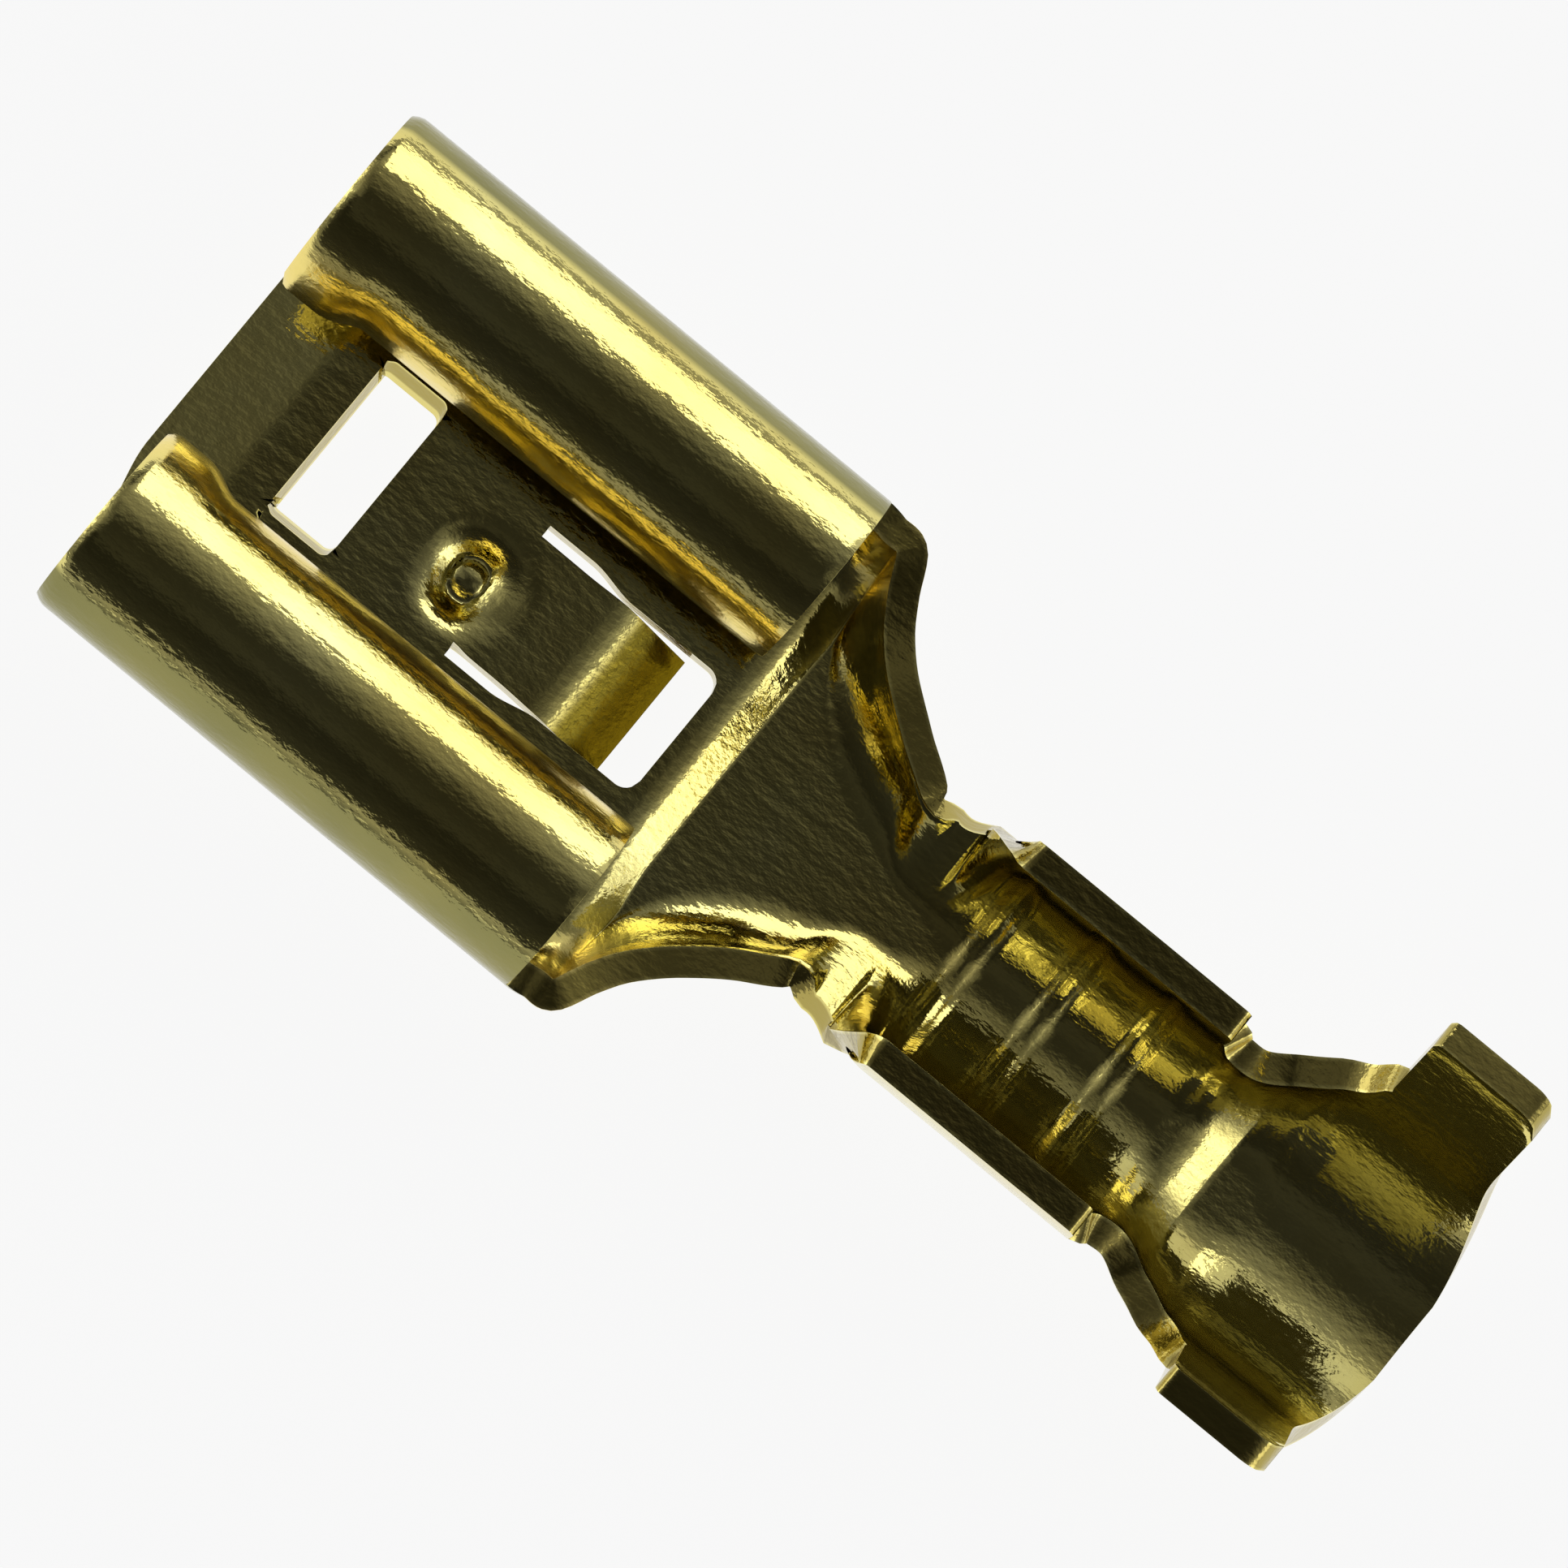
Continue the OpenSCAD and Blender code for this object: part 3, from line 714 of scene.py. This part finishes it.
def brass():
    """Polished brass with fine draw lines, and painted reflection and shade where the mesh marks
    them.
    """
    material = bpy.data.materials.new("drawn_brass")
    material.use_nodes = True
    tree = material.node_tree
    tree.nodes.clear()
    w = Wiring(tree)
    place = w.node("ShaderNodeTexCoord").outputs["Object"]
    def noise(scale, stretch, detail, rough, seed):
        mapping = w.node("ShaderNodeMapping")
        mapping.inputs["Scale"].default_value = stretch
        mapping.inputs["Location"].default_value = (seed, seed * 0.7, seed * 0.3)
        w.join(place, mapping.inputs["Vector"])
        node = w.node("ShaderNodeTexNoise")
        node.inputs["Scale"].default_value = scale
        node.inputs["Detail"].default_value = detail
        node.inputs["Roughness"].default_value = rough
        w.join(mapping.outputs[0], node.inputs["Vector"])
        return node.outputs["Fac"]
    patches = noise(420.0, (1.0, 1.0, 1.0), 4.0, 0.55, 3.1)
    draw_lines = noise(900.0, (0.6, 9.0, 9.0), 3.0, 0.6, 1.7)
    waves = noise(3600.0, (0.6, 1.5, 1.5), 2.0, 0.5, 5.3)
    grain = noise(7500.0, (1.0, 1.6, 1.6), 2.0, 0.6, 2.2)

    colour = w.ramp(patches, BRASS)
    lips, flaps, depth = w.mark("lip"), w.mark("flap"), w.mark("depth")
    # Painted gold reflection on the lips and the shoulder
    colour = w.tinted(colour, w.math("MULTIPLY", lips, LIP_REFLECTION_SHARE), LIP_REFLECTION_TINT)
    # Painted shade with a gold tone on the flap of the lance
    colour = w.tinted(colour, flaps, FLAP_SHADE_TINT)
    # Painted shade on the outer flanks of the rolls, which turns their reflection of the pale floor
    # olive
    outside = w.math("MULTIPLY", w.mark("flank"), w.math("LESS_THAN", depth, 0.5))
    flank_shade = w.math("MULTIPLY", outside, w.level(patches, 0.3, 0.7, 0.82, 0.94))
    colour = w.tinted(colour, flank_shade, FLANK_SHADE_TINT)
    # 0 on both faces of the sheet and 1 half way between them
    cut = w.math("SUBTRACT", w.math("MULTIPLY", depth, 2.0), 1.0)
    cut = w.math("SUBTRACT", 1.0, w.math("ABSOLUTE", cut))
    # Darker cut edges: partly the sheared metal's own duller colour, partly painted shade
    colour = w.tinted(colour, w.level(cut, 0.05, 0.3, 0.0, 1.0), CUT_DULL_AND_SHADE_TINT)

    rough = w.math("ADD", w.level(draw_lines, 0.3, 0.7, 0.07, 0.12),
                   w.level(grain, 0.35, 0.7, -0.01, 0.03))
    rough = w.math("ADD", rough, w.math("MULTIPLY", w.math("ADD", lips, flaps), 0.13))
    relief = w.bump(waves, WAVE_RELIEF * MM)
    relief = w.bump(draw_lines, LINE_RELIEF * MM, relief)
    relief = w.bump(grain, GRAIN_RELIEF * MM, relief)

    shader = w.node("ShaderNodeBsdfPrincipled")
    shader.inputs["Metallic"].default_value = 1.0
    shader.inputs["Anisotropic"].default_value = 0.0
    w.join(colour, shader.inputs["Base Color"])
    w.join(rough, shader.inputs["Roughness"])
    w.join(relief, shader.inputs["Normal"])
    w.join(shader.outputs[0], w.node("ShaderNodeOutputMaterial").inputs["Surface"])
    return material


# Studio, in metres: the floor's half-width and how white it shows
FLOOR_REACH, FLOOR_WHITE = 1.5, 0.92
# Cards of light that only the metal shows: name, place along x, length and power
CARDS = [("side_card", -0.0063, 0.0174, 0.0012), ("far_card", 0.0087, 0.0126, 0.00013)]
CARD_Y, CARD_Z, CARD_HIGH = 0.016, 0.0126, 0.0139
# Brightness of the room by the sine of the height over the horizon: all round, low on both sides of
# the terminal, past its ends, and on one side of it
ALL_ROUND = [(0.0, 0.06), (0.3, 0.03), (0.8, 0.015), (0.93, 0.035), (1.0, 0.024)]
LOW_SIDES = [(0.0, 0.28), (0.20, 0.28), (0.28, 0.0), (1.0, 0.0)]
ENDS = [(0.0, 0.5), (0.12, 1.6), (0.40, 2.2), (0.46, 0.45), (0.60, 0.3), (0.75, 0.15), (0.94, 0.08),
        (1.0, 0.0)]
SIDE = [(0.30, 0.0), (0.42, 0.34), (0.60, 0.38), (0.75, 0.28), (0.88, 0.15), (0.97, 0.04),
        (1.0, 0.0)]


def floor_material():
    """Pale floor that shows white to the camera and to the metal, and keeps the shadow."""
    material = bpy.data.materials.new("pale_floor")
    material.use_nodes = True
    tree = material.node_tree
    tree.nodes.clear()
    w = Wiring(tree)
    rays = w.node("ShaderNodeLightPath").outputs
    diffuse = w.node("ShaderNodeBsdfDiffuse")
    diffuse.inputs["Color"].default_value = (0.9, 0.9, 0.9, 1)
    glow = w.node("ShaderNodeEmission")
    glow.inputs["Color"].default_value = (1, 1, 1, 1)
    glow.inputs["Strength"].default_value = 1.0
    mix = w.node("ShaderNodeMixShader")
    seen = w.math("ADD", rays["Is Camera Ray"], rays["Is Glossy Ray"])
    seen = w.math("ADD", seen, rays["Is Transmission Ray"], clamp=True)
    w.join(w.math("MULTIPLY", seen, FLOOR_WHITE), mix.inputs[0])
    w.join(diffuse.outputs[0], mix.inputs[1])
    w.join(glow.outputs[0], mix.inputs[2])
    w.join(mix.outputs[0], w.node("ShaderNodeOutputMaterial").inputs["Surface"])
    return material


def camera():
    """Long lens nearly straight above the terminal, which lies turned in the view."""
    data = bpy.data.cameras.new("camera")
    obj = bpy.data.objects.new("camera", data)
    bpy.context.scene.collection.objects.link(obj)
    data.sensor_width = 36.0
    data.lens = 466.5
    data.clip_start = 0.01
    turn = (Matrix.Rotation(math.radians(-39.41), 3, "Z")
            @ Matrix.Rotation(math.radians(0.24), 3, "Y")
            @ Matrix.Rotation(math.radians(-8.07), 3, "X"))
    target, from_target = Vector((0, 0, 0.0015)), Vector((-0.000388, 0.000761, 0.25))
    place = target + turn.transposed() @ from_target
    obj.matrix_world = Matrix.Translation(place) @ turn.transposed().to_4x4()
    bpy.context.scene.camera = obj


def strip_light(name, place, target, size, power):
    """Rectangular lamp with its first side along x, aimed at the target."""
    data = bpy.data.lights.new(name, "AREA")
    data.shape = "RECTANGLE"
    data.size, data.size_y = size
    data.energy = power
    obj = bpy.data.objects.new(name, data)
    bpy.context.scene.collection.objects.link(obj)
    up = (Vector(place) - Vector(target)).normalized()
    across = Vector((1, 0, 0))
    across = (across - across.dot(up) * up).normalized()
    axes = Matrix((across, up.cross(across), up)).transposed()
    obj.matrix_world = Matrix.Translation(place) @ axes.to_4x4()
    return obj


def room():
    """Dim room with soft bands of light past the ends of the terminal and beside it."""
    world = bpy.data.worlds.new("studio")
    bpy.context.scene.world = world
    world.use_nodes = True
    tree = world.node_tree
    tree.nodes.clear()
    w = Wiring(tree)
    split = w.node("ShaderNodeSeparateXYZ")
    w.join(w.node("ShaderNodeTexCoord").outputs["Generated"], split.inputs[0])
    x, y, z = (split.outputs[axis] for axis in "XYZ")
    level = w.math("SQRT", w.math("SUBTRACT", 1.0005, w.math("POWER", z, 2.0)))

    def by_height(stops):
        return w.ramp(z, [(at, (value,) * 3) for at, value in stops])

    def band(stops, aim, power):
        """Light by height, which fades with the turn away from where aim is greatest."""
        share = w.math("POWER", w.math("DIVIDE", aim, level), power)
        return w.math("MULTIPLY", by_height(stops), share)

    total = w.math("ADD", band(ENDS, w.math("ABSOLUTE", x), 16.0),
                   band(SIDE, w.math("MAXIMUM", y, 0.0), 2.0))
    total = w.math("ADD", total, band(LOW_SIDES, y, 2.0))
    total = w.math("ADD", by_height(ALL_ROUND), total)
    light = w.node("ShaderNodeBackground")
    light.inputs["Color"].default_value = (1, 1, 1, 1)
    w.join(total, light.inputs["Strength"])
    w.join(light.outputs[0], w.node("ShaderNodeOutputWorld").inputs["Surface"])


def studio():
    """The room, one broad lamp for the shadow, two cards of light, and the floor."""
    room()
    lamp = strip_light("side_lamp", (0.0, 0.13, 0.075), (0, 0, 0.001), (0.34, 0.09), 0.04)
    lamp.visible_glossy = False
    for name, x, long, power in CARDS:
        card = strip_light(name, (x, CARD_Y, CARD_Z), (x, 0.0, CARD_Z), (long, CARD_HIGH), power)
        card.visible_diffuse = False
        card.visible_camera = False

    mesh = bpy.data.meshes.new("floor")
    r = FLOOR_REACH
    mesh.from_pydata([(-r, -r, 0), (r, -r, 0), (r, r, 0), (-r, r, 0)], [], [(0, 1, 2, 3)])
    floor = bpy.data.objects.new("floor", mesh)
    bpy.context.scene.collection.objects.link(floor)
    mesh.materials.append(floor_material())


def terminal():
    """The one folded strip, which stands for the whole terminal."""
    middle = bpy.data.objects.new("middle_sheet", middle_sheet())
    bpy.context.scene.collection.objects.link(middle)
    mesh = plain_mesh(middle, strip_tree(), {
        "Thickness": SHEET * MM,
        "First Serration": FIRST_SERRATION * MM,
        "Serration Pitch": SERRATION_PITCH * MM,
        "Serration Width": SERRATION_W * MM,
        "Serration Depth": SERRATION_DEPTH * MM,
        "Serration Count": SERRATION_COUNT,
        "Material": brass(),
    })
    bpy.data.objects.remove(middle)
    weigh_cut_edges(mesh)
    piece = bpy.data.objects.new("folded_strip", mesh)
    bpy.context.scene.collection.objects.link(piece)
    bevel = piece.modifiers.new("rounded_cut_edges", "BEVEL")
    bevel.limit_method = "WEIGHT"
    bevel.width = 0.05 * MM
    bevel.segments = 3
    bevel.harden_normals = True
    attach(piece, "root")
    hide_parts("terminal")


bpy.context.scene.view_settings.view_transform = "Standard"
camera()
studio()
terminal()
